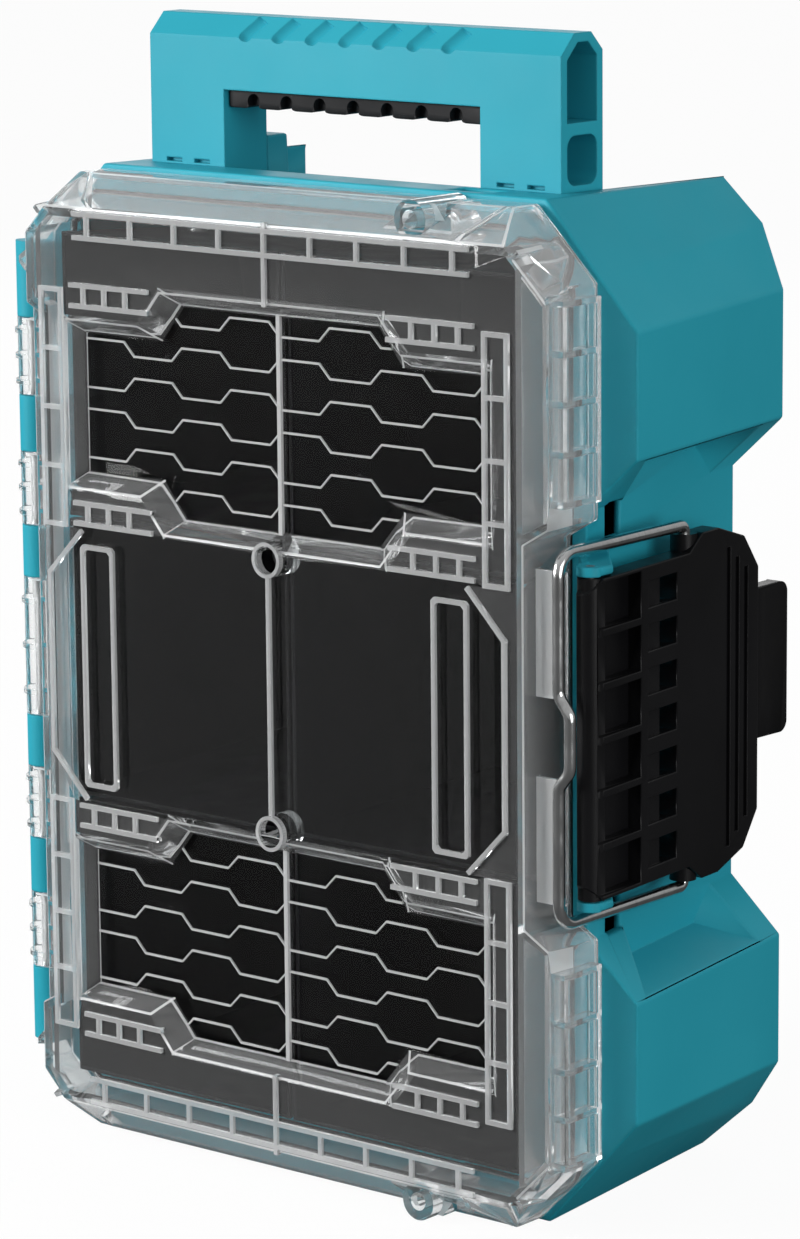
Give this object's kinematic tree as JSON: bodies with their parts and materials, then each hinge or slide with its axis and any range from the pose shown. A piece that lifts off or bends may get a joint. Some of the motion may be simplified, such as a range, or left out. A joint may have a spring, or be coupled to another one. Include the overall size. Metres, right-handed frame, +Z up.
{
  "type": "organizer case",
  "caption": "Upright organizer case with a clear ribbed lid hinged on one side, a wire draw latch, a deep base with open bins and a carry handle on top.",
  "frame": {"origin": "middle of the flat face that the case stands on, midway between the parting plane and the back of the base", "axes": "+X to the latch side, +Y from the lid to the back, +Z up through the carry handle"},
  "size_m": [0.2589, 0.148, 0.386],
  "materials": {
    "teal_plastic": "satin moulded teal plastic",
    "clear_plastic": "clear polished polycarbonate",
    "bin_plastic": "black moulded plastic",
    "latch_plastic": "fine-grained black plastic",
    "grip_rubber": "soft matt grip",
    "black_rubber": "matt seal",
    "plated_wire": "bright zinc plated wire",
    "pin_steel": "plain steel"
  },
  "bodies": {
    "base": {"base_shell": "teal_plastic", "lid_seal": "black_rubber", "hinge_pin": "pin_steel", "carry_handle": "teal_plastic", "handle_grip": "grip_rubber", "handle_screws": "pin_steel", "lever_pin": "pin_steel", "rear_lock_cover": "latch_plastic", "rear_lock_spring": "pin_steel", "rear_lock_screws": "pin_steel", "bin_1": "bin_plastic", "bin_2": "bin_plastic", "bin_3": "bin_plastic", "bin_4": "bin_plastic", "bin_5": "bin_plastic", "bin_6": "bin_plastic"},
    "lid": {"lid_shell": "clear_plastic"},
    "lever": {"latch_lever": "latch_plastic"},
    "bail": {"latch_bail": "plated_wire"},
    "lock_slider": {"rear_lock_slider": "latch_plastic"}
  },
  "joints": [
    {"name": "lid_swing", "type": "hinge", "parent": "base", "child": "lid", "pos_m": [-0.121, -0.058, 0.168], "axis": [0, 0, -1], "range_deg": [0, 165]},
    {"name": "lever_swing", "type": "hinge", "parent": "base", "child": "lever", "pos_m": [0.1215, -0.062, 0.168], "axis": [0, 0, -1], "range_deg": [0, 140]},
    {"name": "bail_swing", "type": "hinge", "parent": "lever", "child": "bail", "pos_m": [0.1165, -0.006, 0.168], "axis": [0, 0, -1], "range_deg": [-170, 0]},
    {"name": "lock_slide", "type": "slide", "parent": "base", "child": "lock_slider", "axis": [-1, 0, 0], "range_m": [0, 0.008], "stiffness_N_per_m": 300, "springref_m": -0.005, "deforming": ["rear_lock_spring"]}
  ],
  "couplings": [
    {"joint": "bail_swing", "follows": "lever_swing", "ratio": -1.2}
  ]
}
